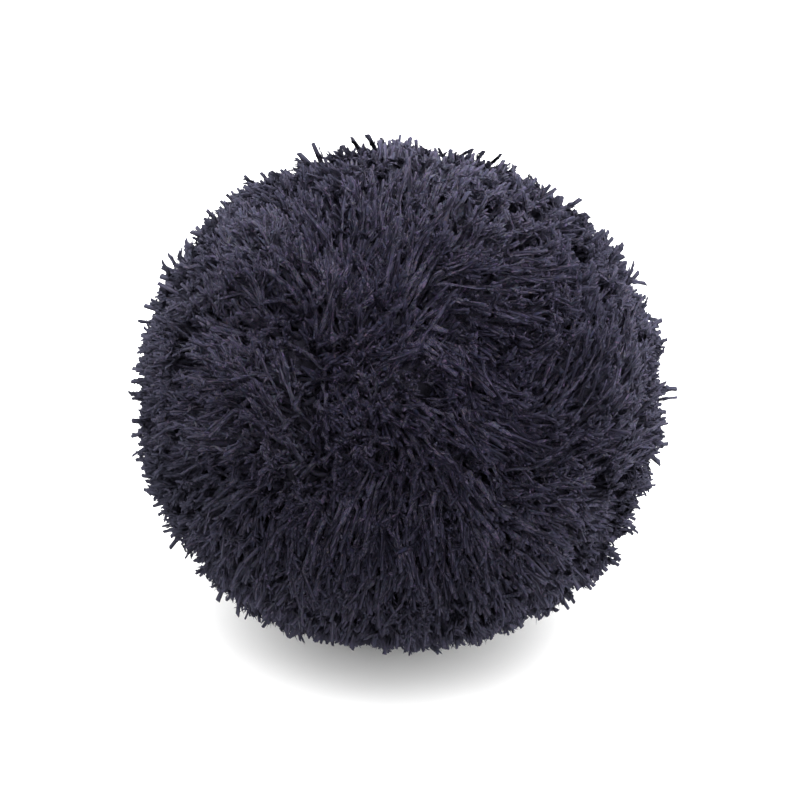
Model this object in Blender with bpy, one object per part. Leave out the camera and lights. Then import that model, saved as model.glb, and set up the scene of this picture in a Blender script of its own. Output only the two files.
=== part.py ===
"""Pom pom: a ball of cut yarn, tied hard in the middle and trimmed round. Metres, +Z up.

The origin is on the surface that the ball rests on, under its middle, and the front is -Y. The pom pom is one
piece: its yarn stands in locks that all grow out of the dense pile round the tie. The locks part along dark clefts
and lean together into tufts, and those under the ball are shorter and end level on the surface.
"""

import math
from collections import namedtuple

import bmesh
import bpy
import numpy as np
from mathutils import Vector

# Sizes of the whole ball.
BALL_RADIUS = 0.050
REST_RADIUS = 0.017  # of the level patch that the ball rests on
CENTRE_HEIGHT = math.sqrt(BALL_RADIUS**2 - REST_RADIUS**2)
PILE_RADIUS = 0.0405  # the yarn is one dense mass up to here, and stands in locks beyond
PILE_DIP = 0.14  # how much lower the dense mass is under a parting, as a share of its radius

# Sizes of a lock. Its radii are shares of the distance to the nearest lock at the same depth.
LOCKS = 300
SIDES = 4
ROOT_DEPTH, SHOULDER_DEPTH, TIP_DEPTH = 0.66, 0.91, 1.0  # shares of the lock's reach from the middle
ROOT_WIDTH, SHOULDER_WIDTH, TIP_WIDTH = 0.42, 0.49, 0.37
LEVEL_WIDTH = 0.45  # of the flat end of a lock that stands on the surface
UNEVEN_REACH = 0.022  # how much the locks' reach varies, as a share of the ball's radius
ROOT_LEAN = 0.45  # the share of a lock's lean that its root takes, toward a parting. Its tip takes the rest
LEAN_CURVE = 1.3  # over 1, a lock leans more toward its tip

# Partings and tufts are placed as the ball shows from a little above its front: across is to the right and up
# is upward, both from its middle and in ball radii, as is width.
VIEW_RISE = math.radians(28)
Parting = namedtuple("Parting", "across up to_across to_up width push")
PARTINGS = (
    Parting(-0.46, 0.38, -0.30, 0.10, width=0.30, push=0.9),
    Parting(0.31, 0.06, 0.58, 0.13, width=0.30, push=0.9),
    Parting(-0.03, 0.05, -0.05, -0.46, width=0.24, push=0.8),
    Parting(0.10, 0.50, 0.12, 0.34, width=0.26, push=0.8),
    Parting(-0.70, -0.22, -0.42, -0.14, width=0.26, push=0.7),
    Parting(0.30, -0.34, 0.42, -0.52, width=0.28, push=0.8),
    Parting(-0.15, 0.80, -0.10, 0.62, width=0.24, push=0.6),
    Parting(-0.36, -0.34, -0.40, -0.62, width=0.24, push=0.6),
)
Tuft = namedtuple("Tuft", "across up width gather lift")
TUFTS = (
    Tuft(-0.56, 0.26, width=0.40, gather=0.30, lift=0.020),
    Tuft(-0.53, 0.62, width=0.30, gather=0.25, lift=0.015),
    Tuft(0.00, 0.76, width=0.30, gather=0.25, lift=0.010),
    Tuft(0.62, 0.48, width=0.40, gather=0.25, lift=0.015),
    Tuft(0.08, -0.05, width=0.26, gather=0.30, lift=-0.010),
    Tuft(-0.18, 0.12, width=0.24, gather=0.30, lift=-0.010),
    Tuft(-0.10, -0.62, width=0.34, gather=0.20, lift=0.010),
    Tuft(0.72, -0.36, width=0.36, gather=0.20, lift=0.015),
)
SIDES_OF_BALL = (0.0, math.pi)  # the same partings and tufts, turned about Z, serve the front and the back
DOWN = np.array([0.0, 0.0, -1.0])


def unit(vectors):
    return vectors / np.linalg.norm(vectors, axis=-1, keepdims=True)


def seen_at(across, up, turn):
    """The direction from the ball's middle to the place seen there, turned about Z."""
    upward = np.array([0.0, math.sin(VIEW_RISE), math.cos(VIEW_RISE)])
    toward = np.array([0.0, -math.cos(VIEW_RISE), math.sin(VIEW_RISE)])
    x, y, z = across * np.array([1.0, 0.0, 0.0]) + up * upward + math.sqrt(1 - across**2 - up**2) * toward
    return np.array([x * math.cos(turn) - y * math.sin(turn), x * math.sin(turn) + y * math.cos(turn), z])


def away_from(parting, turn, directions):
    """From the nearest point of a parting to each direction, along the ball's surface."""
    start = seen_at(parting.across, parting.up, turn)
    run = seen_at(parting.to_across, parting.to_up, turn) - start
    along = np.clip((directions - start) @ run / (run @ run), 0, 1)
    away = directions - start - along[:, None] * run
    return away - (away * directions).sum(1)[:, None] * directions


def nearness(offsets, width):
    """1 at a parting or a tuft, falling to 0 over its width."""
    return np.exp(-((np.linalg.norm(offsets, axis=1) / width) ** 2))


def combed(directions):
    """Root and tip directions of the yarn here: leaning from the partings and gathered to the tufts."""
    shift = np.zeros_like(directions)
    for turn in SIDES_OF_BALL:
        for parting in PARTINGS:
            away = away_from(parting, turn, directions)
            shift += parting.push * nearness(away, parting.width)[:, None] * away
        for tuft in TUFTS:
            toward = seen_at(tuft.across, tuft.up, turn) - directions
            shift += tuft.gather * nearness(toward, tuft.width)[:, None] * toward
    return unit(directions - ROOT_LEAN * shift), unit(directions + (1 - ROOT_LEAN) * shift)


def spread_evenly(count, rounds=60, step=0.35, crowding=1.4):
    """Directions all round the ball, evenly but not regularly apart. The first points straight down."""
    rng = np.random.default_rng(7)
    directions = unit(rng.normal(size=(count, 3)))
    spacing = math.sqrt(4 * math.pi / count)
    for _ in range(rounds):
        directions[0] = DOWN
        apart = directions[:, None] - directions[None]
        distance = np.linalg.norm(apart, axis=2) + np.eye(count)
        push = np.clip(crowding * spacing - distance, 0, None) * (1 - np.eye(count))
        directions = unit(directions + step * (push[:, :, None] * apart / distance[:, :, None]).sum(1))
    directions[0] = DOWN
    return directions


def reaches(tips):
    """How far from the middle each lock ends, uneven and higher on tufts, and which stand on the surface."""
    rng = np.random.default_rng(11)
    lift = rng.uniform(-UNEVEN_REACH, UNEVEN_REACH, len(tips))
    for turn in SIDES_OF_BALL:
        for tuft in TUFTS:
            lift += tuft.lift * nearness(seen_at(tuft.across, tuft.up, turn) - tips, tuft.width)
    reach = BALL_RADIUS * (1 + lift)
    stands = CENTRE_HEIGHT + reach * tips[:, 2] < 0
    reach[stands] = CENTRE_HEIGHT / -tips[stands, 2]
    return reach, stands


def nearest_distance(points):
    distance = np.linalg.norm(points[:, None] - points[None], axis=2)
    return (distance + np.eye(len(points))).min(1)


def ring(middle, normal, radius, across):
    """Corners of a lock's section, counted round its path from the side that faces across."""
    side = unit(across - (across @ normal) * normal)
    other = np.cross(normal, side)
    angles = 2 * math.pi * np.arange(SIDES) / SIDES
    return middle + radius * (np.cos(angles)[:, None] * side + np.sin(angles)[:, None] * other)


def add_lock(bm, rings):
    """A bar with as many sides as the rings have corners, extruded once, its corners moved to the rings."""
    bar = bmesh.ops.create_cone(bm, cap_ends=True, segments=SIDES, radius1=1, radius2=1, depth=2)["verts"]
    top = next(face for vert in bar for face in vert.link_faces if face.calc_center_median().z > 0.9)
    extruded = bmesh.ops.extrude_face_region(bm, geom=[top])["geom"]
    bmesh.ops.delete(bm, geom=[top], context="FACES_ONLY")
    levels = (
        [vert for vert in bar if vert.co.z < 0],
        [vert for vert in bar if vert.co.z > 0],
        [item for item in extruded if isinstance(item, bmesh.types.BMVert)],
    )
    rounds = [sorted(level, key=lambda vert: math.atan2(vert.co.y, vert.co.x)) for level in levels]
    for verts, corners in zip(rounds, rings):
        for vert, corner in zip(verts, corners):
            vert.co = corner


def lock_rings(directions):
    """The sections of every lock, from its root in the dense mass to its tip."""
    roots, tips = combed(directions)
    reach, stands = reaches(tips)
    across = unit(np.cross(roots, np.random.default_rng(5).normal(size=roots.shape)))
    centre = np.array([0.0, 0.0, CENTRE_HEIGHT])
    sections = [[] for _ in roots]
    stations = (
        (ROOT_DEPTH, ROOT_WIDTH),
        (SHOULDER_DEPTH, SHOULDER_WIDTH),
        (TIP_DEPTH, TIP_WIDTH),
    )
    for depth, width in stations:
        bend = (depth - ROOT_DEPTH) / (TIP_DEPTH - ROOT_DEPTH)
        ways = unit(roots + bend**LEAN_CURVE * (tips - roots))
        points = centre + ways * (depth * reach)[:, None]
        radii = width * nearest_distance(points)
        for number, point in enumerate(points):
            if depth == TIP_DEPTH and stands[number]:
                corners = ring(point, DOWN, radii[number] * LEVEL_WIDTH / TIP_WIDTH, across[number])
                corners[:, 2] = 0.0
            else:
                corners = ring(point, ways[number], radii[number], across[number])
                corners[:, 2] = np.maximum(corners[:, 2], 0.0)
            sections[number].append(corners)
    return sections


def yarn_material():
    material = bpy.data.materials.new("navy_charcoal_yarn")
    material.use_nodes = True
    shader = material.node_tree.nodes["Principled BSDF"]
    shader.inputs["Base Color"].default_value = (0.028, 0.025, 0.038, 1)
    shader.inputs["Roughness"].default_value = 0.95
    shader.inputs["Metallic"].default_value = 0.0
    return material


def make_locks(collection):
    """All locks as one helper mesh, each a body of its own."""
    bm = bmesh.new()
    for rings in lock_rings(spread_evenly(LOCKS)):
        add_lock(bm, rings)
    mesh = bpy.data.meshes.new("locks")
    bm.to_mesh(mesh)
    bm.free()
    locks = bpy.data.objects.new("locks", mesh)
    locks.hide_render = True
    locks.display_type = "WIRE"
    collection.objects.link(locks)
    return locks


def make_pile(collection):
    """The dense mass round the tie: a ball, lower under the partings."""
    bm = bmesh.new()
    bmesh.ops.create_icosphere(bm, subdivisions=3, radius=1.0)
    directions = np.array([vert.co.normalized() for vert in bm.verts])
    dip = np.zeros(len(directions))
    for turn in SIDES_OF_BALL:
        for parting in PARTINGS:
            near = nearness(away_from(parting, turn, directions), parting.width)
            dip = np.maximum(dip, PILE_DIP * near)
    for vert, direction, low in zip(bm.verts, directions, dip):
        vert.co = Vector(direction) * PILE_RADIUS * (1 - low)
    mesh = bpy.data.meshes.new("yarn_pile")
    bm.to_mesh(mesh)
    bm.free()
    pile = bpy.data.objects.new("yarn_pile", mesh)
    pile.location = (0, 0, CENTRE_HEIGHT)
    pile.data.materials.append(yarn_material())
    collection.objects.link(pile)
    return pile


for old in list(bpy.data.objects):
    bpy.data.objects.remove(old)

pom_pom = bpy.data.collections.new("pom_pom")
helpers = bpy.data.collections.new("helpers")
for made in (pom_pom, helpers):
    bpy.context.scene.collection.children.link(made)

yarn_pile = make_pile(pom_pom)
union = yarn_pile.modifiers.new("locks fused at their roots", "BOOLEAN")
union.operation = "UNION"
union.solver = "EXACT"
union.object = make_locks(helpers)
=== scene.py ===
"""The looks of a pom pom of dark navy-charcoal yarn, on a pale floor in soft studio light."""

import math
from collections import namedtuple

import bpy
import numpy as np
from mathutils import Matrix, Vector, kdtree


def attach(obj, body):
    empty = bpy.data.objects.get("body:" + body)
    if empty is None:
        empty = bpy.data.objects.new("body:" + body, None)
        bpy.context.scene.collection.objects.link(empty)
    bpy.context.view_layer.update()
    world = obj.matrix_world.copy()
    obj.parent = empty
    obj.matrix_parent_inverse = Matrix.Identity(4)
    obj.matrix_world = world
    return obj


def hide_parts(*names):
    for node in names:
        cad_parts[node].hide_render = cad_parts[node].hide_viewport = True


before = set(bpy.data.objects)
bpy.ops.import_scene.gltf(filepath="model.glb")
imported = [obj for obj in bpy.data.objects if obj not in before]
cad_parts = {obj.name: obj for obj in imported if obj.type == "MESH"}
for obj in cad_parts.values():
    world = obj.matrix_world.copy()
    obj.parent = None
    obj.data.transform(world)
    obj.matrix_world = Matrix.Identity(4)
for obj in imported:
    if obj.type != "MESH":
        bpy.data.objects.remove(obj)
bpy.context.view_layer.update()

# ---------------------------------------------------------------------------------------------------
# How the ball lies: yarn is wound in a thick bundle, tied hard round the middle, cut through and
# trimmed round. Every cut length grows from the hidden tie. Handling has combed the lengths over
# into tufts, with dark partings between them.
# ---------------------------------------------------------------------------------------------------
MM = 0.001
BALL_RADIUS = 50 * MM
REST_RADIUS = 17 * MM  # of the level patch under the ball
CENTRE = np.array([0.0, 0.0, math.sqrt(BALL_RADIUS**2 - REST_RADIUS**2)])
VIEW_RISE = math.radians(28)  # the ball is seen from this far above its front
FRONT = 0.0
BACK = math.pi  # as a turn about Z
SIDES_OF_BALL = (FRONT, BACK)  # the back is combed and parted as the front is

# The lines along which the yarn of a tuft lies over, from its roots toward its ends. They are as
# the ball shows from a little above its front: across is to the right and up is upward, from its
# middle and in ball radii. So are the width of the tuft and its lean, which is how far its yarn's
# ends lie over.
Comb = namedtuple("Comb", "across up to_across to_up width lean")
COMBS = (
    # the big left tuft
    Comb(-0.39, -0.26, -0.41, 0.22, width=0.10, lean=0.40),
    Comb(-0.47, -0.16, -0.54, 0.20, width=0.10, lean=0.36),
    Comb(-0.60, 0.08, -0.86, 0.12, width=0.12, lean=0.22),
    Comb(-0.58, -0.14, -0.88, -0.18, width=0.11, lean=0.26),
    # upper left
    Comb(-0.62, 0.40, -0.66, 0.60, width=0.14, lean=0.18),
    Comb(-0.40, 0.52, -0.58, 0.68, width=0.12, lean=0.32),
    Comb(-0.30, 0.54, -0.36, 0.84, width=0.11, lean=0.30),
    # top
    Comb(-0.16, 0.54, -0.10, 0.88, width=0.11, lean=0.24),
    Comb(0.00, 0.56, 0.08, 0.88, width=0.11, lean=0.30),
    Comb(0.10, 0.62, 0.24, 0.87, width=0.10, lean=0.16),
    Comb(0.22, 0.64, 0.44, 0.78, width=0.11, lean=0.18),
    # upper right fan
    Comb(0.20, 0.52, 0.60, 0.58, width=0.09, lean=0.32),
    Comb(0.18, 0.48, 0.62, 0.43, width=0.09, lean=0.38),
    Comb(0.28, 0.38, 0.56, 0.25, width=0.07, lean=0.32),
    # right
    Comb(0.70, 0.14, 0.72, 0.46, width=0.13, lean=0.26),
    Comb(0.86, 0.00, 0.84, 0.40, width=0.12, lean=0.30),
    Comb(0.58, -0.26, 0.68, -0.10, width=0.12, lean=0.18),
    Comb(0.82, -0.30, 0.84, 0.00, width=0.13, lean=0.22),
    # lower right fan
    Comb(0.44, -0.42, 0.88, -0.38, width=0.11, lean=0.34),
    Comb(0.44, -0.50, 0.78, -0.56, width=0.09, lean=0.32),
    Comb(0.40, -0.54, 0.60, -0.74, width=0.10, lean=0.32),
    Comb(0.32, -0.48, 0.25, -0.72, width=0.08, lean=0.32),
    # under
    Comb(0.14, -0.42, 0.13, -0.84, width=0.12, lean=0.22),
    Comb(0.03, -0.36, -0.02, -0.86, width=0.08, lean=0.24),
    Comb(-0.06, -0.18, -0.13, -0.48, width=0.07, lean=0.26),
    Comb(-0.24, -0.30, -0.18, -0.54, width=0.07, lean=0.24),
    Comb(-0.30, -0.46, -0.31, -0.86, width=0.13, lean=0.22),
    # lower left
    Comb(-0.48, -0.42, -0.50, -0.78, width=0.13, lean=0.26),
    Comb(-0.66, -0.36, -0.70, -0.62, width=0.13, lean=0.18),
    # the middle
    Comb(-0.30, 0.28, -0.21, 0.48, width=0.07, lean=0.26),
    Comb(-0.25, 0.13, -0.07, 0.20, width=0.07, lean=0.22),
    Comb(-0.26, 0.02, -0.10, -0.05, width=0.07, lean=0.22),
    Comb(-0.22, -0.10, -0.10, -0.18, width=0.06, lean=0.20),
    Comb(-0.18, 0.22, 0.02, 0.44, width=0.08, lean=0.28),
    Comb(-0.05, 0.02, 0.05, 0.26, width=0.08, lean=0.24),
    Comb(0.02, 0.44, 0.14, 0.60, width=0.07, lean=0.26),
    Comb(0.22, 0.32, 0.30, 0.10, width=0.08, lean=0.26),
    Comb(0.14, 0.20, 0.24, 0.02, width=0.08, lean=0.26),
    Comb(0.26, 0.06, 0.40, -0.07, width=0.08, lean=0.28),
    Comb(0.08, -0.04, 0.22, -0.15, width=0.07, lean=0.26),
    Comb(0.28, -0.12, 0.48, -0.22, width=0.08, lean=0.28),
    Comb(0.03, -0.16, 0.12, -0.34, width=0.07, lean=0.26),
    Comb(0.18, -0.26, 0.26, -0.36, width=0.07, lean=0.22),
)
UNCOMBED = 0.05  # yarn that no comb reaches by more than this stands straight out
COMB_SHARPNESS = 6  # how fast the yarn turns from one comb's way to the next
COMB_HOLD = 2.5  # the higher, the farther from its line a comb lays the yarn over in full
START_ROOTED = 0.5  # the yarn is rooted this share of its lean before the start of a comb's line
END_ROOTED = 0.8  # and this share before the end of the line
SIDE_TURN = 3  # how sharply the front's combing gives way to the back's, along the sides

# Where the tufts part, the yarn between them is short and lies in shade, in ball radii as before.
Parting = namedtuple("Parting", "across up to_across to_up width depth")
PARTINGS = (
    # round the big left tuft
    Parting(-0.68, 0.34, -0.44, 0.41, width=0.07, depth=0.16),
    Parting(-0.40, 0.40, -0.32, 0.20, width=0.06, depth=0.20),
    Parting(-0.32, 0.20, -0.33, -0.30, width=0.07, depth=0.20),
    Parting(-0.33, -0.34, -0.30, -0.28, width=0.08, depth=0.22),
    Parting(-0.88, -0.28, -0.64, -0.32, width=0.10, depth=0.15),
    Parting(-0.60, -0.36, -0.45, -0.58, width=0.12, depth=0.08),
    # down the middle
    Parting(-0.03, -0.24, -0.07, -0.62, width=0.06, depth=0.22),
    Parting(0.05, -0.16, -0.08, -0.68, width=0.15, depth=0.11),
    Parting(0.15, -0.64, 0.20, -0.80, width=0.10, depth=0.10),
    Parting(-0.22, -0.46, -0.17, -0.34, width=0.08, depth=0.14),
    Parting(-0.10, 0.52, -0.18, 0.66, width=0.10, depth=0.10),
    # between the middle and the right
    Parting(0.08, 0.50, 0.14, 0.28, width=0.09, depth=0.20),
    Parting(0.24, -0.02, 0.46, -0.14, width=0.12, depth=0.13),
    Parting(0.40, 0.12, 0.68, 0.05, width=0.14, depth=0.16),
    Parting(0.36, -0.34, 0.46, -0.28, width=0.09, depth=0.18),
    Parting(0.16, -0.38, 0.46, -0.42, width=0.12, depth=0.09),
)


def unit(vectors):
    length = np.linalg.norm(vectors, axis=-1, keepdims=True)
    return vectors / np.maximum(length, 1e-12)


def along_ball(vectors, directions):
    """The part of each vector that runs along the ball's surface in that direction."""
    return vectors - (vectors * directions).sum(-1, keepdims=True) * directions


def seen_at(across, up, turn):
    """The direction from the ball's middle to the place seen there, turned about Z."""
    upward = np.array([0.0, math.sin(VIEW_RISE), math.cos(VIEW_RISE)])
    toward = np.array([0.0, -math.cos(VIEW_RISE), math.sin(VIEW_RISE)])
    near = math.sqrt(1 - across**2 - up**2)
    x, y, z = across * np.array([1.0, 0.0, 0.0]) + up * upward + near * toward
    cos, sin = math.cos(turn), math.sin(turn)
    return np.array([x * cos - y * sin, x * sin + y * cos, z])


def line_of(place, turn):
    """The start and the end of the line of a comb, a parting or a place of painted light and shade.
    """
    return seen_at(place.across, place.up, turn), seen_at(place.to_across, place.to_up, turn)


def nearness(start, end, width, directions):
    """1 for a direction on the line between two others, falling to 0 over the width."""
    run = end - start
    along = np.clip((directions - start) @ run / (run @ run), 0, 1)
    distance = np.linalg.norm(directions - unit(start + along[:, None] * run), axis=1)
    return np.exp(-((distance / width) ** 2))


def combed(directions):
    """How far the yarn rooted here leans over, between the ways that the nearest combs laid it."""
    lean = np.zeros_like(directions)
    weights = np.full(len(directions), UNCOMBED**COMB_SHARPNESS)
    nearest = np.zeros(len(directions))
    for turn in SIDES_OF_BALL:
        own_side = np.clip(0.5 - SIDE_TURN * math.cos(turn) * directions[:, 1], 0, 1)
        for comb in COMBS:
            start, end = line_of(comb, turn)
            whole = comb.lean * unit(end - start)
            rooted_from = start - START_ROOTED * whole
            rooted_to = end - END_ROOTED * whole
            near = own_side * nearness(rooted_from, rooted_to, comb.width, directions)
            lean += (near**COMB_SHARPNESS)[:, None] * whole
            weights += near**COMB_SHARPNESS
            nearest = np.maximum(nearest, near)
    held = np.minimum(nearest * COMB_HOLD, 1)
    return along_ball(lean / weights[:, None], directions) * held[:, None]


def parted(directions):
    """How much shorter the yarn is that ends here, as a share of the ball's radius."""
    depth = np.zeros(len(directions))
    for turn in SIDES_OF_BALL:
        for parting in PARTINGS:
            near = nearness(*line_of(parting, turn), parting.width, directions)
            depth = np.maximum(depth, parting.depth * near)
    return depth


# A few yarns lie together as a wisp, and the wisps of a clump lean over as one.
YARNS = 8400
WISPS = 2800
CLUMPS = 560
YARN_JITTER = 0.30  # how far off an even spread they stand, as a share of their spacing
TUFT_JITTER = 0.40  # the same for wisps and clumps
CLUMPING = 0.20  # how far the ends of a clump draw together
WISPING = 0.26  # and those of a wisp
TOGETHER = 0.75  # how far the yarns of a clump lean as one
CLUMP_ASTRAY = 0.06  # how far the ends of a clump stray from the combing, in ball radii
WISP_ASTRAY = 0.050
YARN_ASTRAY = 0.032
END_GAP = 1.4 * MM  # yarn ends lie at least this far apart

rng = np.random.default_rng(20)


def spiral(count):
    """Directions evenly all round a ball."""
    number = np.arange(count) + 0.5
    z = 1 - 2 * number / count
    turn = number * math.pi * (3 - math.sqrt(5))
    flat = np.sqrt(1 - z * z)
    return np.stack([flat * np.cos(turn), flat * np.sin(turn), z], 1)


def jittered(directions, amount):
    """The same directions, each nudged along the ball."""
    nudge = rng.normal(size=directions.shape) * amount
    return unit(directions + along_ball(nudge, directions))


def spread(count, jitter):
    """Directions all round the ball, evenly but not regularly apart."""
    return jittered(spiral(count), jitter * math.sqrt(4 * math.pi / count))


def tree_of(directions):
    tree = kdtree.KDTree(len(directions))
    for number, direction in enumerate(directions):
        tree.insert(direction, number)
    tree.balance()
    return tree


def kept_apart(directions, gap, rounds=8, found=7, step=0.4):
    """The same directions, nudged along the ball until few are nearer than the gap."""
    for _ in range(rounds):
        tree = tree_of(directions)
        push = np.zeros_like(directions)
        for number, direction in enumerate(directions):
            for near, _, distance in tree.find_n(direction, found):
                if 1e-9 < distance < gap:
                    push[number] += (direction - np.array(near)) * (gap / distance - 1) * step
        directions = unit(directions + push)
    return directions


# How far beyond the ball's radius the yarns end, as a share of it.
TRIMMED_TO = 0.006
CLUMP_UNEVEN = 0.006
WISP_UNEVEN = 0.006
YARN_UNEVEN = 0.005
CUT_SHORT = 0.014  # most yarns end short of the trim by about this, and a few by much more
LAID_LOWER = 0.15  # how much lower a yarn ends, the more it leans over
LOW_TRIM = 0.065  # the scissors took this much more low down
LOW_TRIM_AT = -0.85
LOW_TRIM_WIDTH = 0.15
PROUD_SHARE = 0.09  # of the yarns stand out of the pile
PROUD_BY = (0.016, 0.048)
NONE_PROUD_BELOW = -0.60

yarns = spread(YARNS, YARN_JITTER)
clump_middles = spread(CLUMPS, TUFT_JITTER)
clump_stray = rng.normal(size=clump_middles.shape) * CLUMP_ASTRAY
clump_lean = combed(clump_middles) + along_ball(clump_stray, clump_middles)
clump_of = (yarns @ clump_middles.T).argmax(1)
clump_lift = rng.normal(size=CLUMPS) * CLUMP_UNEVEN
wisp_middles = spread(WISPS, TUFT_JITTER)
wisp_of = (yarns @ wisp_middles.T).argmax(1)
wisp_stray = rng.normal(size=wisp_middles.shape) * WISP_ASTRAY
wisp_lift = rng.normal(size=WISPS) * WISP_UNEVEN

lean = TOGETHER * clump_lean[clump_of] + (1 - TOGETHER) * combed(yarns)
stray = wisp_stray[wisp_of] + rng.normal(size=yarns.shape) * YARN_ASTRAY
drawn = CLUMPING * (clump_middles[clump_of] - yarns) + WISPING * (wisp_middles[wisp_of] - yarns)
ends = kept_apart(unit(yarns + lean + drawn + stray), END_GAP / BALL_RADIUS)
lift = TRIMMED_TO + clump_lift[clump_of] + wisp_lift[wisp_of] + rng.normal(size=YARNS) * YARN_UNEVEN
lift -= rng.exponential(CUT_SHORT, YARNS)
lowered = LAID_LOWER * (lean**2).sum(1) + parted(ends)
lift -= lowered
lift -= LOW_TRIM * np.exp(-(((ends[:, 2] - LOW_TRIM_AT) / LOW_TRIM_WIDTH) ** 2))
proud = (rng.random(YARNS) < PROUD_SHARE) & (ends[:, 2] > NONE_PROUD_BELOW)
lift[proud] = rng.uniform(*PROUD_BY, proud.sum()) - lowered[proud]

# Short yarns stand straight in the gaps that the tufts leave.
OPEN_GAP = 1.42 * MM
SHORT_ASTRAY = 0.06
SHORT_BY = (-0.09, -0.02)
SHORT_PARTED = 0.7  # the share of a parting's depth by which they are shorter there
tree = tree_of(ends)
short_ones = spread(YARNS, YARN_JITTER)
in_gap = [tree.find(direction)[2] > OPEN_GAP / BALL_RADIUS for direction in short_ones]
short_ones = short_ones[in_gap]
short_ends = jittered(short_ones, SHORT_ASTRAY)
short_lift = rng.uniform(*SHORT_BY, len(short_ones)) - SHORT_PARTED * parted(short_ones)
yarns = np.concatenate([yarns, short_ones])
ends = np.concatenate([ends, short_ends])
proud = np.concatenate([proud, np.zeros(len(short_ones), bool)])
lift = np.concatenate([lift, short_lift])
YARNS = len(yarns)
reach = BALL_RADIUS * (1 + lift)

# ---------------------------------------------------------------------------------------------------
# The cut yarn: a soft, matt, loose twist of fine fibres. Each length ends blunt where the scissors
# cut it, and its fibres open a little at the end. The yarn is fixed only at the tie.
# ---------------------------------------------------------------------------------------------------
CORE_SIDES = 3
YARN_RINGS = (0.0, 0.36, 0.60, 0.81, 1.0)  # shares of the yarn's length that shows
CORE_WIDTHS = (0.95, 1.03, 0.92, 0.76, 0.52)  # of the yarn's radius, at the rings
PROUD_WIDTH = 0.74  # of a yarn that stands out of the pile, at every ring
END_POKE = 0.02  # the cut end and the last sides each get a corner in their middle, this far out

bpy.ops.object.select_all(action="DESELECT")
bpy.ops.mesh.primitive_cylinder_add(vertices=CORE_SIDES, radius=1, depth=1, location=(0, 0, 0.5))
core = bpy.context.object
bpy.ops.object.transform_apply(location=True)
bpy.ops.object.mode_set(mode="EDIT")
for height in YARN_RINGS[1:-1]:
    bpy.ops.mesh.select_all(action="SELECT")
    bpy.ops.mesh.bisect(plane_co=(0, 0, height), plane_no=(0, 0, 1))
bpy.ops.object.mode_set(mode="OBJECT")
for face in core.data.polygons:
    face.select = face.normal.z > 0.9
bpy.ops.object.mode_set(mode="EDIT")
bpy.ops.mesh.select_mode(type="FACE")
bpy.ops.mesh.poke(offset=END_POKE)
bpy.ops.object.mode_set(mode="OBJECT")

# One fibre: a sliver, widest at its middle, where it can bend, and closing to a point at both ends.
FIBRE_RINGS = (0.0, 0.5, 1.0)
FIBRE_CORNERS = ((0, 0, 0), (1, 0, 0.5), (-0.4, 0.9, 0.5), (0, 0, 1))
bpy.ops.object.select_all(action="DESELECT")
bpy.ops.mesh.primitive_cone_add(vertices=3, radius1=1, radius2=0, depth=1, location=(0, 0, 0.5))
fibre = bpy.context.object
bpy.ops.object.transform_apply(location=True)
for vert, corner in zip(fibre.data.vertices, FIBRE_CORNERS):
    vert.co = corner
bpy.ops.object.mode_set(mode="EDIT")
bpy.ops.mesh.select_all(action="SELECT")
bpy.ops.mesh.normals_make_consistent(inside=False)
bpy.ops.object.mode_set(mode="OBJECT")

SIDE_RISE = 0.97  # how far up a strand's share of the map its side goes. Its cut end takes the rest
FLAT_RISE = 0.01  # how much of it a face takes that lies level

Pattern = namedtuple("Pattern", "ring turn flat corners sizes round_at up_at")


def pattern_of(model, rings):
    """A modelled strand as arrays: the ring and turn of each corner, and its faces and their map."""
    spots = np.array([vert.co for vert in model.data.vertices])
    ring = np.abs(np.clip(spots[:, 2], 0, 1)[:, None] - np.array(rings)).argmin(1)
    flat = np.hypot(spots[:, 0], spots[:, 1]) > 1e-3  # the corner is off the middle line
    turn = np.arctan2(spots[:, 1], spots[:, 0]) / (2 * math.pi) % 1
    corners, sizes, round_at, up_at = [], [], [], []
    for face in model.data.polygons:
        own = list(face.vertices)
        around = np.where(flat[own], turn[own], np.nan)
        if np.nanmax(around) - np.nanmin(around) > 0.5:  # the face lies over the map's seam
            around = np.where(around < 0.5, around + 1, around)
        around = np.where(np.isnan(around), np.nanmean(around), around)
        height = np.clip(spots[own, 2], 0, 1) * SIDE_RISE
        height = np.where(flat[own], height, np.where(height > 0.5, 1.0, 0.0))
        if np.ptp(height) < 1e-6:
            height = height + FLAT_RISE * np.sin(2 * math.pi * around) + FLAT_RISE
        corners += own
        sizes.append(len(own))
        round_at += list(around)
        up_at += list(height)
    bpy.data.objects.remove(model)
    faces = (np.array(values) for values in (corners, sizes, round_at, up_at))
    return Pattern(ring, turn, flat, *faces)


core_pattern = pattern_of(core, YARN_RINGS)
fibre_pattern = pattern_of(fibre, FIBRE_RINGS)

ROOT_AT = 0.70  # of the ball's radius. The yarn inside this is out of sight
YARN_RADIUS = 0.62 * MM
GIRTHS = (0.80, 1.25)  # times that, so some yarns are thinner and some thicker
CORNER_WIDTHS = (0.74, 1.26)  # times that again at each corner, so no yarn is quite round
TURNS = (0.6, 1.6)  # of the twist, from root to end
KINK = 0.46 * MM  # how far a yarn strays to the side at each ring
LEAN_CURVE = 1.7  # over 1, yarn leans over more toward its end
END_ROUND = 0.15 * MM  # how far the middle of a cut end stands out

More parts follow.
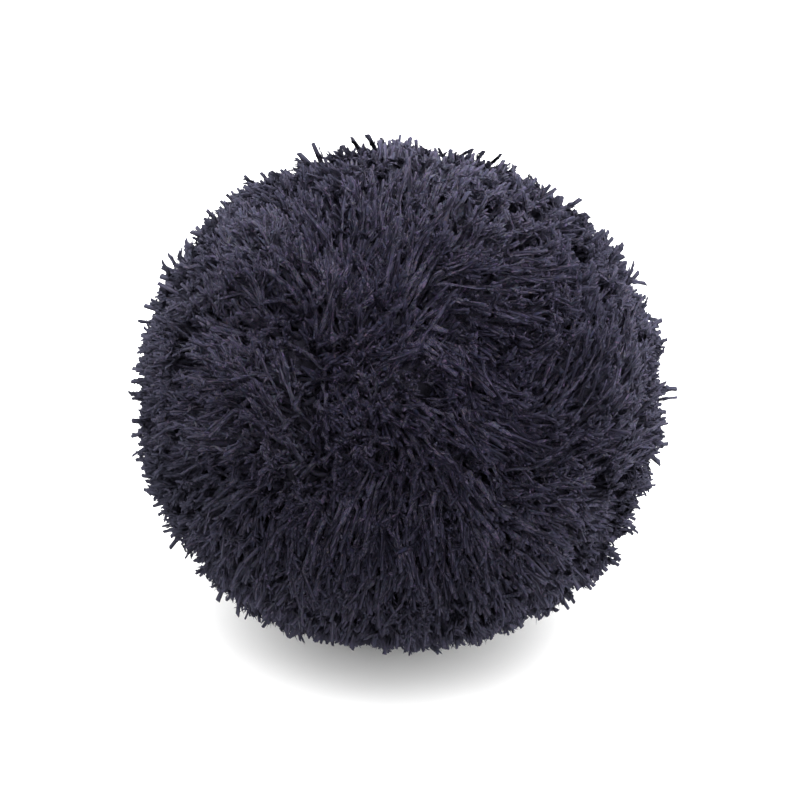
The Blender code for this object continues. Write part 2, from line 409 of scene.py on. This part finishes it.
rings = np.array(YARN_RINGS)[:, None]
side = unit(np.cross(yarns, rng.normal(size=yarns.shape)))
other = np.cross(yarns, side)
kink = rng.normal(size=(len(YARN_RINGS), YARNS, 3)) * KINK
kink[0] = 0
ways = unit(yarns + (rings**LEAN_CURVE)[..., None] * (ends - yarns))
from_centre = ROOT_AT * BALL_RADIUS + rings * (reach - ROOT_AT * BALL_RADIUS)
middles = CENTRE + kink + ways * from_centre[..., None]
end_way = unit(middles[-1] - middles[-2])
long = np.linalg.norm(np.diff(middles, axis=0), axis=2).sum(0)
girth = YARN_RADIUS * rng.uniform(*GIRTHS, YARNS)
twist = rng.uniform(*TURNS, YARNS) * 2 * math.pi


def yarn_at(share, number):
    """Where these yarns' middles are at a share of their length, and beyond their ends."""
    ring = np.clip(np.searchsorted(YARN_RINGS, share) - 1, 0, len(YARN_RINGS) - 2)
    low, high = np.array(YARN_RINGS)[ring], np.array(YARN_RINGS)[ring + 1]
    mix = (np.clip(share, 0, 1) - low) / (high - low)
    spot = middles[ring, number] * (1 - mix)[:, None] + middles[ring + 1, number] * mix[:, None]
    return spot + end_way[number] * (np.maximum(share - 1, 0) * long[number])[:, None]


core_points = np.empty((YARNS, len(core_pattern.ring), 3))
core_corners = zip(core_pattern.ring, core_pattern.turn, core_pattern.flat)
for corner, (ring, turn, flat) in enumerate(core_corners):
    spin = turn * 2 * math.pi + twist * YARN_RINGS[ring]
    width = girth * np.where(proud, PROUD_WIDTH, CORE_WIDTHS[ring]) * flat
    width *= rng.uniform(*CORNER_WIDTHS, YARNS)
    off = np.cos(spin)[:, None] * side + np.sin(spin)[:, None] * other
    core_points[:, corner] = middles[ring] + width[:, None] * off
    if not flat:
        core_points[:, corner] += end_way * END_ROUND

# Short fibres lie all ways over the core. At a cut end they open out like a brush, but keep
# together where the yarn stands out of the pile. Many of the others curl: they stand up from the
# yarn and lie across it. A few have come loose.
FIBRES_ON_YARN = 19
FIBRES_IN_SHADE = 9  # on a yarn that ends deeper in, or under the ball
FIBRES_ON_PROUD = 8  # on a yarn that stands out of the pile
IN_SHADE_BELOW = -0.042  # as a share of the ball's radius
UNDER_BALL = -0.8
END_SHARE = 0.50  # of the fibres reach the cut end
CURLED_SHARE = 0.75  # of the others
LOOSE_SHARE = 0.18
END_TIPS = (0.93, 1.0)  # where a fibre ends, as a share of the yarn's length
SIDE_TIPS = (0.56, 1.0)
fibres_on = np.where(lift > IN_SHADE_BELOW, FIBRES_ON_YARN, FIBRES_IN_SHADE)
fibres_on[yarns[:, 2] < UNDER_BALL] = FIBRES_IN_SHADE
fibres_on[proud] = FIBRES_ON_PROUD
of_yarn = np.repeat(np.arange(YARNS), fibres_on)
FIBRES = len(of_yarn)
at_end = rng.random(FIBRES) < END_SHARE
opened = at_end & ~proud[of_yarn]
curled = ~at_end & (rng.random(FIBRES) < CURLED_SHARE)
tip_at = np.where(at_end, rng.uniform(*END_TIPS, FIBRES), rng.uniform(*SIDE_TIPS, FIBRES))

CURL_LONG = (0.7, 1.5)  # in millimetres
FIBRE_LONG = (1.2, 3.0)
fibre_long = np.where(curled, rng.uniform(*CURL_LONG, FIBRES), rng.uniform(*FIBRE_LONG, FIBRES)) * MM
start_at = tip_at - fibre_long / long[of_yarn]

# How far from the yarn's middle line a fibre's start, middle and tip are, in the yarn's radii.
START_OUT = (0.40, 0.80)
MIDDLE_OUT = (0.75, 1.15)
CURL_OUT = (0.1, 0.5)  # more than that
CUT_OUT = (0.5, 0.9)
OPEN_OUT = (0.0, 1.9)  # more than that
TIP_OUT = 0.9
LOOSE_OUT = (0.3, 1.5)  # more than that
loose = (rng.random(FIBRES) < LOOSE_SHARE) * rng.uniform(*LOOSE_OUT, FIBRES)
start_out = rng.uniform(*START_OUT, FIBRES)
middle_out = rng.uniform(*MIDDLE_OUT, FIBRES) + curled * rng.uniform(*CURL_OUT, FIBRES)
cut_out = rng.uniform(*CUT_OUT, FIBRES) + opened * rng.uniform(*OPEN_OUT, FIBRES)
tip_out = np.where(at_end, cut_out, TIP_OUT + loose)

CURL_WANDER = 2.2  # how far round the yarn a fibre winds off its twist, in radians
FIBRE_WANDER = 0.9
first_spin = rng.uniform(0, 2 * math.pi, FIBRES)
wander = rng.normal(size=FIBRES) * np.where(curled, CURL_WANDER, FIBRE_WANDER)
fibre_middles = []
for part, out in zip(FIBRE_RINGS, (start_out, middle_out, tip_out)):
    share = start_at + part * (tip_at - start_at)
    spin = first_spin + twist[of_yarn] * share + part * wander
    off = np.cos(spin)[:, None] * side[of_yarn] + np.sin(spin)[:, None] * other[of_yarn]
    fibre_middles.append(yarn_at(share, of_yarn) + off * (girth[of_yarn] * out)[:, None])

MIDDLE_ASTRAY = 0.22 * MM
TIP_ASTRAY = 0.25 * MM
FIBRE_RADIUS = 0.105 * MM
FIBRE_GIRTHS = (0.75, 1.3)
fibre_middles[1] += rng.normal(size=(FIBRES, 3)) * MIDDLE_ASTRAY
fibre_middles[2] += rng.normal(size=(FIBRES, 3)) * TIP_ASTRAY
fibre_way = unit(fibre_middles[2] - fibre_middles[0])
fibre_side = unit(np.cross(fibre_way, side[of_yarn]))
fibre_other = np.cross(fibre_way, fibre_side)
fibre_thick = FIBRE_RADIUS * rng.uniform(*FIBRE_GIRTHS, FIBRES)
fibre_points = np.empty((FIBRES, len(fibre_pattern.ring), 3))
fibre_corners = zip(fibre_pattern.ring, fibre_pattern.turn, fibre_pattern.flat)
for corner, (ring, turn, flat) in enumerate(fibre_corners):
    spin = turn * 2 * math.pi
    off = math.cos(spin) * fibre_side + math.sin(spin) * fibre_other
    fibre_points[:, corner] = fibre_middles[ring] + (fibre_thick * flat)[:, None] * off

# The map that the yarn's colours are laid on. Upward is along a strand. Across it lie the lots
# of the cores, each as wide as one yarn is round, and then those of the fibres. The lots of each
# go through the tones from dark to light, and those of the cores do so three times. A yarn's
# tone holds its own dye and the painted light and shade of its place.
TONES = 8
CORE_LOTS = 3 * TONES
FIBRES_PER_TONE = 12
CORE_SHARE = 0.75  # of the map's width
FIBRE_RISE = 0.15  # how much of the map's height one fibre takes
core_width = CORE_SHARE / CORE_LOTS
fibre_width = (1 - CORE_SHARE) / (TONES * FIBRES_PER_TONE)

# Painted shade in the front's hollows, and painted light where light falls on it, both in tones.
PaintedPlace = namedtuple("PaintedPlace", "across up to_across to_up width tones")
# painted shade, darker in hollows and pockets
PAINTED_SHADE = (
    # the right of the middle
    PaintedPlace(0.42, 0.10, 0.66, 0.06, width=0.16, tones=7.0),
    PaintedPlace(0.26, -0.07, 0.40, -0.06, width=0.16, tones=7.0),
    PaintedPlace(0.30, -0.10, 0.40, -0.30, width=0.09, tones=2.4),
    # above the middle
    PaintedPlace(0.11, 0.24, 0.15, 0.42, width=0.10, tones=4.6),
    PaintedPlace(-0.10, 0.66, -0.30, 0.54, width=0.09, tones=2.4),
    PaintedPlace(-0.12, 0.46, 0.20, 0.50, width=0.09, tones=2.4),
    PaintedPlace(0.60, 0.50, 0.74, 0.36, width=0.09, tones=2.4),
    PaintedPlace(-0.34, 0.60, -0.26, 0.90, width=0.12, tones=2.4),
    # below the middle
    PaintedPlace(-0.02, -0.42, 0.08, -0.50, width=0.14, tones=3.2),
    PaintedPlace(-0.20, -0.38, -0.18, -0.42, width=0.07, tones=2.0),
    # beside the big left tuft
    PaintedPlace(-0.42, 0.36, -0.36, 0.34, width=0.08, tones=2.4),
    PaintedPlace(-0.33, 0.20, -0.33, -0.26, width=0.07, tones=2.2),
    PaintedPlace(-0.12, 0.30, -0.08, 0.26, width=0.09, tones=1.8),
)
# painted light, lighter where light falls
PAINTED_LIGHT = (
    # the top
    PaintedPlace(-0.04, 0.92, 0.42, 0.78, width=0.18, tones=7.0),
    PaintedPlace(0.14, 0.78, 0.34, 0.70, width=0.11, tones=8.0),
    PaintedPlace(0.44, 0.59, 0.50, 0.58, width=0.09, tones=2.4),
    # the left
    PaintedPlace(-0.58, 0.62, -0.50, 0.62, width=0.13, tones=6.5),
    PaintedPlace(-0.84, 0.38, -0.66, 0.36, width=0.13, tones=3.8),
    PaintedPlace(-0.88, 0.13, -0.56, 0.18, width=0.12, tones=3.4),
    PaintedPlace(-0.40, 0.06, -0.40, -0.26, width=0.12, tones=5.0),
    PaintedPlace(-0.88, -0.13, -0.56, -0.16, width=0.11, tones=4.8),
    # the right and the lower rim
    PaintedPlace(0.92, 0.20, 0.80, -0.32, width=0.16, tones=6.2),
    PaintedPlace(0.78, -0.46, 0.46, -0.82, width=0.20, tones=6.8),
    PaintedPlace(-0.62, -0.68, -0.14, -0.88, width=0.16, tones=7.8),
    PaintedPlace(0.20, -0.84, 0.42, -0.80, width=0.13, tones=4.6),
    # the middle
    PaintedPlace(0.26, 0.16, 0.26, 0.18, width=0.09, tones=1.0),
    PaintedPlace(-0.06, 0.08, 0.10, 0.08, width=0.12, tones=2.4),
    PaintedPlace(-0.40, 0.50, -0.24, 0.40, width=0.08, tones=2.0),
)


def painted_tones(places, directions):
    """By how many tones these places of painted light and shade change the yarn seen here."""
    tones = np.zeros(len(directions))
    for place in places:
        near = nearness(*line_of(place, FRONT), place.width, directions)
        tones = np.maximum(tones, place.tones * near)
    return tones


USUAL_TONE = 3.4
CLUMP_TONES = 0.8  # how much the tone varies from clump to clump
WISP_TONES = 0.65
YARN_TONES = 0.45
FIBRE_TONES = 0.4
CORE_DARKER = 2  # a core lies in its fibres' shade
PAINTED_PARTING_SHADE = 16  # tones of painted shade, for each ball radius by which a parting is deep
PROUD_TONE = 3.0  # at least, of a yarn that stands out of the pile, so that it stays clear of the painted shade
MOSTLY_SEEN = 0.75  # of the way from where a yarn is rooted to its end
PAINTED_FILL_FROM = 0.96  # painted light: a fibre is lighter, the farther down the yarn from here it ends, which lifts the shade deep in the pile
PAINTED_FILL_BY = 11  # tones, for the length of a yarn
PAINTED_FILL_WITHIN = (-0.7, 3.6)
clump_tone = rng.normal(size=CLUMPS) * CLUMP_TONES
wisp_tone = rng.normal(size=WISPS) * WISP_TONES
yarn_tone = USUAL_TONE + clump_tone[(yarns @ clump_middles.T).argmax(1)]
yarn_tone += wisp_tone[(yarns @ wisp_middles.T).argmax(1)] + rng.normal(size=YARNS) * YARN_TONES
seen = unit(yarns + MOSTLY_SEEN * (ends - yarns))
# painted light and shade of the places above, and painted shade in the partings
yarn_tone += painted_tones(PAINTED_LIGHT, seen) - painted_tones(PAINTED_SHADE, seen) - PAINTED_PARTING_SHADE * parted(seen)
yarn_tone[proud] = np.maximum(yarn_tone[proud], PROUD_TONE)
fibre_tone = yarn_tone[of_yarn] + rng.normal(size=FIBRES) * FIBRE_TONES
# painted light, lighter deeper in the pile
fibre_tone += np.clip((PAINTED_FILL_FROM - tip_at) * PAINTED_FILL_BY, *PAINTED_FILL_WITHIN)


def whole_tone(tone):
    return np.clip(tone, 0, TONES - 0.01).astype(int)


core_lot = whole_tone(yarn_tone - CORE_DARKER) + TONES * rng.integers(0, CORE_LOTS // TONES, YARNS)
fibre_lot = whole_tone(fibre_tone) * FIBRES_PER_TONE + rng.integers(0, FIBRES_PER_TONE, FIBRES)
core_from = np.stack([core_lot * core_width, np.zeros(YARNS)], 1)
fibre_up = rng.uniform(0, 1 - FIBRE_RISE, FIBRES)
fibre_from = np.stack([CORE_SHARE + fibre_lot * fibre_width, fibre_up], 1)


def dyed_yarn():
    """Matt navy-charcoal yarn, with its tone from its place on the map."""
    material = bpy.data.materials.new("navy_charcoal_yarn")
    material.use_nodes = True
    nodes, links = material.node_tree.nodes, material.node_tree.links
    shader = nodes["Principled BSDF"]
    uv = nodes.new("ShaderNodeUVMap")
    uv.uv_map = "OFBake"
    split = nodes.new("ShaderNodeSeparateXYZ")
    links.new(uv.outputs["UV"], split.inputs[0])

    # fine fibres that run along the yarn
    fibres_round, fibres_along = 7, 24
    stretch = nodes.new("ShaderNodeVectorMath")
    stretch.operation = "MULTIPLY"
    stretch.inputs[1].default_value = (fibres_round / core_width, fibres_along, 1)
    links.new(uv.outputs["UV"], stretch.inputs[0])
    fibres = nodes.new("ShaderNodeTexNoise")
    fibres.noise_dimensions = "2D"
    fibres.inputs["Scale"].default_value = 1.0
    fibres.inputs["Detail"].default_value = 2.0
    fibres.inputs["Roughness"].default_value = 0.6
    fibres.inputs["Distortion"].default_value = 1.8
    links.new(stretch.outputs[0], fibres.inputs["Vector"])
    fibre_contrast, fibre_shift = 2.2, -0.62
    contrast = nodes.new("ShaderNodeMath")
    contrast.operation = "MULTIPLY_ADD"
    contrast.inputs[1].default_value = fibre_contrast
    contrast.inputs[2].default_value = fibre_shift
    links.new(fibres.outputs["Fac"], contrast.inputs[0])

    # painted light and shade: a core's side is lighter deeper in the pile, and its cut end darker, as
    # in velvet
    painted_fill_and_end_shade = nodes.new("ShaderNodeMapRange")
    painted_fill_and_end_shade.inputs["From Min"].default_value = 0.62
    painted_fill_and_end_shade.inputs["From Max"].default_value = 1.0
    painted_fill_and_end_shade.inputs["To Min"].default_value = 0.40
    painted_fill_and_end_shade.inputs["To Max"].default_value = -0.06
    links.new(split.outputs["Y"], painted_fill_and_end_shade.inputs["Value"])
    on_core = nodes.new("ShaderNodeMath")
    on_core.operation = "LESS_THAN"
    on_core.inputs[1].default_value = CORE_SHARE
    links.new(split.outputs["X"], on_core.inputs[0])
    on_side = nodes.new("ShaderNodeMath")
    on_side.operation = "MULTIPLY_ADD"
    links.new(painted_fill_and_end_shade.outputs["Result"], on_side.inputs[0])
    links.new(on_core.outputs[0], on_side.inputs[1])
    links.new(contrast.outputs[0], on_side.inputs[2])

    # each lot is a step of tone: the yarn's own dye, which varies at random, and the painted light
    # and shade of its place
    lot = nodes.new("ShaderNodeMath")
    lot.operation = "MULTIPLY"
    lot.inputs[1].default_value = 1 / core_width
    links.new(split.outputs["X"], lot.inputs[0])
    lot_number = nodes.new("ShaderNodeMath")
    lot_number.operation = "FLOOR"
    links.new(lot.outputs[0], lot_number.inputs[0])
    lot_tone = nodes.new("ShaderNodeMath")
    lot_tone.operation = "MODULO"
    lot_tone.inputs[1].default_value = TONES
    links.new(lot_number.outputs[0], lot_tone.inputs[0])
    tone_step = 0.070
    depth = nodes.new("ShaderNodeMath")
    depth.operation = "MULTIPLY_ADD"
    depth.inputs[1].default_value = tone_step
    links.new(lot_tone.outputs[0], depth.inputs[0])
    links.new(on_side.outputs[0], depth.inputs[2])
    tone = nodes.new("ShaderNodeValToRGB")
    tone.color_ramp.elements[0].position = 0.42
    tone.color_ramp.elements[0].color = (0.0112, 0.0100, 0.0200, 1)
    tone.color_ramp.elements[1].position = 1.0
    tone.color_ramp.elements[1].color = (0.054, 0.0512, 0.078, 1)
    tone.color_ramp.elements.new(0.68).color = (0.0196, 0.0177, 0.0327, 1)
    tone.color_ramp.elements.new(0.86).color = (0.0338, 0.0314, 0.0514, 1)
    links.new(depth.outputs[0], tone.inputs["Fac"])

    # the dye is a little redder in some places and bluer in others
    tinted = nodes.new("ShaderNodeMix")
    tinted.data_type = "RGBA"
    tinted.blend_type = "SOFT_LIGHT"
    tinted.inputs["Factor"].default_value = 0.7
    links.new(tone.outputs["Color"], tinted.inputs["A"])
    links.new(fibres.outputs["Color"], tinted.inputs["B"])
    links.new(tinted.outputs["Result"], shader.inputs["Base Color"])

    # light scatters inside soft yarn, so its shade follows the ball more than each strand's round
    ridges = nodes.new("ShaderNodeBump")
    ridges.inputs["Strength"].default_value = 0.5
    ridges.inputs["Distance"].default_value = 0.15 * MM
    links.new(fibres.outputs["Fac"], ridges.inputs["Height"])
    place = nodes.new("ShaderNodeTexCoord")
    outward = nodes.new("ShaderNodeVectorMath")
    outward.operation = "SUBTRACT"
    outward.inputs[1].default_value = tuple(CENTRE)
    links.new(place.outputs["Object"], outward.inputs[0])
    outward_way = nodes.new("ShaderNodeVectorMath")
    outward_way.operation = "NORMALIZE"
    links.new(outward.outputs[0], outward_way.inputs[0])
    softened = nodes.new("ShaderNodeMix")
    softened.data_type = "VECTOR"
    softened.inputs["Factor"].default_value = 0.88
    links.new(ridges.outputs["Normal"], softened.inputs["A"])
    links.new(outward_way.outputs[0], softened.inputs["B"])
    softened_way = nodes.new("ShaderNodeVectorMath")
    softened_way.operation = "NORMALIZE"
    links.new(softened.outputs["Result"], softened_way.inputs[0])
    links.new(softened_way.outputs[0], shader.inputs["Normal"])
    shader.inputs["Roughness"].default_value = 0.95
    shader.inputs["Specular IOR Level"].default_value = 0.04
    shader.inputs["Sheen Weight"].default_value = 0.14
    shader.inputs["Sheen Roughness"].default_value = 0.6
    shader.inputs["Sheen Tint"].default_value = (0.70, 0.72, 1.0, 1)
    return material


yarn_material = dyed_yarn()

MAP_EDGE = 0.04  # of a strand's share of the map, kept free at each side
OVER_FLOOR = 0.2 * MM  # yarn that would reach the floor lies on it, no lower than this


def strands(points, pattern, map_from, map_size):
    """Corners, faces and map of copies of one modelled strand, each placed by its points."""
    copies, corners = points.shape[:2]
    loops = (np.arange(copies)[:, None] * corners + pattern.corners).ravel()
    round_at = MAP_EDGE + (1 - 2 * MAP_EDGE) * pattern.round_at / pattern.round_at.max()
    across = map_from[:, :1] + map_size[0] * round_at
    up = map_from[:, 1:] + map_size[1] * pattern.up_at
    on_map = np.stack([across.ravel(), up.ravel()], 1)
    return points.reshape(-1, 3), loops, np.tile(pattern.sizes, copies), on_map


def make_pile(name, own_yarns, own_fibres):
    """One piece of the pile: its yarns' cores and their fibres, joined."""
    cores = strands(core_points[own_yarns], core_pattern, core_from[own_yarns], (core_width, 1))
    fibre_size = (fibre_width, FIBRE_RISE)
    fibres = strands(fibre_points[own_fibres], fibre_pattern, fibre_from[own_fibres], fibre_size)
    spots = np.concatenate([cores[0], fibres[0]])
    spots[:, 2] = np.maximum(spots[:, 2], OVER_FLOOR)
    loops = np.concatenate([cores[1], fibres[1] + len(cores[0])])
    sizes = np.concatenate([cores[2], fibres[2]])
    on_map = np.concatenate([cores[3], fibres[3]])
    mesh = bpy.data.meshes.new(name)
    mesh.vertices.add(len(spots))
    mesh.vertices.foreach_set("co", spots.ravel())
    mesh.loops.add(len(loops))
    mesh.loops.foreach_set("vertex_index", loops)
    mesh.polygons.add(len(sizes))
    mesh.polygons.foreach_set("loop_start", np.concatenate([[0], np.cumsum(sizes)[:-1]]))
    mesh.polygons.foreach_set("use_smooth", np.ones(len(sizes), bool))
    mesh.update(calc_edges=True)
    mesh.uv_layers.new(name="OFBake").data.foreach_set("uv", on_map.ravel())
    mesh.validate()
    piece = bpy.data.objects.new(name, mesh)
    bpy.context.scene.collection.objects.link(piece)
    piece.data.materials.append(yarn_material)
    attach(piece, "root")
    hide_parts("yarn_pile")


PILE_SIDES = {
    "yarn_front": (0, -1, 0),
    "yarn_back": (0, 1, 0),
    "yarn_left": (-1, 0, 0),
    "yarn_right": (1, 0, 0),
    "yarn_top": (0, 0, 1),
    "yarn_under": (0, 0, -1),
}
pile_side = (yarns @ np.array(list(PILE_SIDES.values()), float).T).argmax(1)
for number, name in enumerate(PILE_SIDES):
    make_pile(name, pile_side == number, pile_side[of_yarn] == number)

# ---------------------------------------------------------------------------------------------------
# The dense yarn deeper in, where the lengths are squeezed together toward the tie. It shows only as
# darkness at the bottom of a parting.
# ---------------------------------------------------------------------------------------------------
DENSE_UP_TO = 0.82  # of the ball's radius, where the yarn stands thick
PARTED_DOWN_TO = 0.77  # where it stands thin
YARNS_NEAR = 6  # that show how thick it stands
THIN_FROM = 1.2  # times the usual gap between them
THIN_BY = 0.8  # more than that, where it stands thinnest
ROUGH = 0.5 * MM
GRAIN = 0.35 * MM  # of the yarn ends that it is packed from

bpy.ops.object.select_all(action="DESELECT")
bpy.ops.mesh.primitive_ico_sphere_add(subdivisions=5, radius=1, location=(0, 0, 0))
inner = bpy.context.object
inner.name = inner.data.name = "yarn_inner_pile"
tree = tree_of(unit(middles[2] - CENTRE))
inner_ways = unit(np.array([vert.co for vert in inner.data.vertices]))
gaps = np.array([np.mean([found[2] for found in tree.find_n(way, YARNS_NEAR)]) for way in inner_ways])
thin = np.clip((gaps / np.median(gaps) - THIN_FROM) / THIN_BY, 0, 1)
inner_reach = DENSE_UP_TO + thin * (PARTED_DOWN_TO - DENSE_UP_TO) - parted(inner_ways)
inner_reach = BALL_RADIUS * inner_reach + rng.normal(size=len(inner_ways)) * ROUGH
inner.data.vertices.foreach_set("co", (CENTRE + inner_ways * inner_reach[:, None]).ravel())
inner.data.update()
bpy.ops.object.shade_smooth()

inner_material = bpy.data.materials.new("yarn_in_shade")
inner_material.use_nodes = True
nodes, links = inner_material.node_tree.nodes, inner_material.node_tree.links
place = nodes.new("ShaderNodeTexCoord")
packed = nodes.new("ShaderNodeTexNoise")
packed.inputs["Scale"].default_value = 1 / GRAIN
packed.inputs["Detail"].default_value = 2.0
packed.inputs["Distortion"].default_value = 2.0
links.new(place.outputs["Object"], packed.inputs["Vector"])
packed_tone = nodes.new("ShaderNodeValToRGB")
packed_tone.color_ramp.elements[0].color = (0.0090, 0.0080, 0.0165, 1)
packed_tone.color_ramp.elements[0].position = 0.42
packed_tone.color_ramp.elements[1].color = (0.026, 0.0235, 0.044, 1)
packed_tone.color_ramp.elements[1].position = 0.68
links.new(packed.outputs["Fac"], packed_tone.inputs["Fac"])
links.new(packed_tone.outputs["Color"], nodes["Principled BSDF"].inputs["Base Color"])
nodes["Principled BSDF"].inputs["Roughness"].default_value = 0.95
inner.data.materials.append(inner_material)
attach(inner, "root")
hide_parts("yarn_pile")

# ---------------------------------------------------------------------------------------------------
# The studio: a pale floor in a white room, brightest above and behind the ball. A small soft light
# stands over the front, a larger one low on the right, and the largest above the back.
# ---------------------------------------------------------------------------------------------------
bpy.ops.mesh.primitive_plane_add(size=8, location=(0, 0, 0))
floor = bpy.context.object
floor.name = "floor"
floor_material = bpy.data.materials.new("pale_floor")
floor_material.use_nodes = True
nodes, links = floor_material.node_tree.nodes, floor_material.node_tree.links
looked_at = nodes.new("ShaderNodeLightPath")
floor_tone = nodes.new("ShaderNodeMix")
floor_tone.data_type = "RGBA"
floor_tone.inputs["A"].default_value = (0.26, 0.26, 0.26, 1)  # for the light that it returns
floor_tone.inputs["B"].default_value = (0.95, 0.95, 0.95, 1)  # as it shows
links.new(looked_at.outputs["Is Camera Ray"], floor_tone.inputs["Factor"])
links.new(floor_tone.outputs["Result"], nodes["Principled BSDF"].inputs["Base Color"])
nodes["Principled BSDF"].inputs["Roughness"].default_value = 0.9
floor.data.materials.append(floor_material)

BRIGHTEST_WAY = Vector((0.30, 0.45, 0.84))
world = bpy.data.worlds.new("studio")
bpy.context.scene.world = world
world.use_nodes = True
nodes, links = world.node_tree.nodes, world.node_tree.links
look = nodes.new("ShaderNodeTexCoord")
slope = nodes.new("ShaderNodeVectorMath")
slope.operation = "DOT_PRODUCT"
slope.inputs[1].default_value = BRIGHTEST_WAY
links.new(look.outputs["Generated"], slope.inputs[0])
glow = nodes.new("ShaderNodeMapRange")
glow.inputs["From Min"].default_value = -0.6
glow.inputs["To Min"].default_value = 1.00
glow.inputs["To Max"].default_value = 3.2
links.new(slope.outputs["Value"], glow.inputs["Value"])
nodes["Background"].inputs["Color"].default_value = (1, 1, 1, 1)
links.new(glow.outputs["Result"], nodes["Background"].inputs["Strength"])


def soft_light(name, place, size, power):
    bpy.ops.object.light_add(type="AREA", location=place)
    lamp = bpy.context.object
    lamp.name = name
    lamp.data.size = size
    lamp.data.energy = power
    lamp.rotation_euler = (Vector(CENTRE) - Vector(place)).to_track_quat("-Z", "Y").to_euler()


soft_light("front_box", place=(0.0, -0.62, 1.10), size=0.6, power=3)
soft_light("side_box", place=(1.3, -0.36, 0.08), size=0.9, power=13)
soft_light("top_box", place=(0.35, 0.45, 1.4), size=1.4, power=17)

DISTANCE = 0.50
camera_data = bpy.data.cameras.new("camera")
camera = bpy.data.objects.new("camera", camera_data)
bpy.context.scene.collection.objects.link(camera)
camera.location = CENTRE + DISTANCE * seen_at(0, 0, FRONT)
camera.rotation_euler = (Vector(CENTRE) - camera.location).to_track_quat("-Z", "Y").to_euler()
camera_data.lens = 117
camera_data.sensor_width = 36
bpy.context.scene.camera = camera
bpy.context.scene.view_settings.view_transform = "Standard"
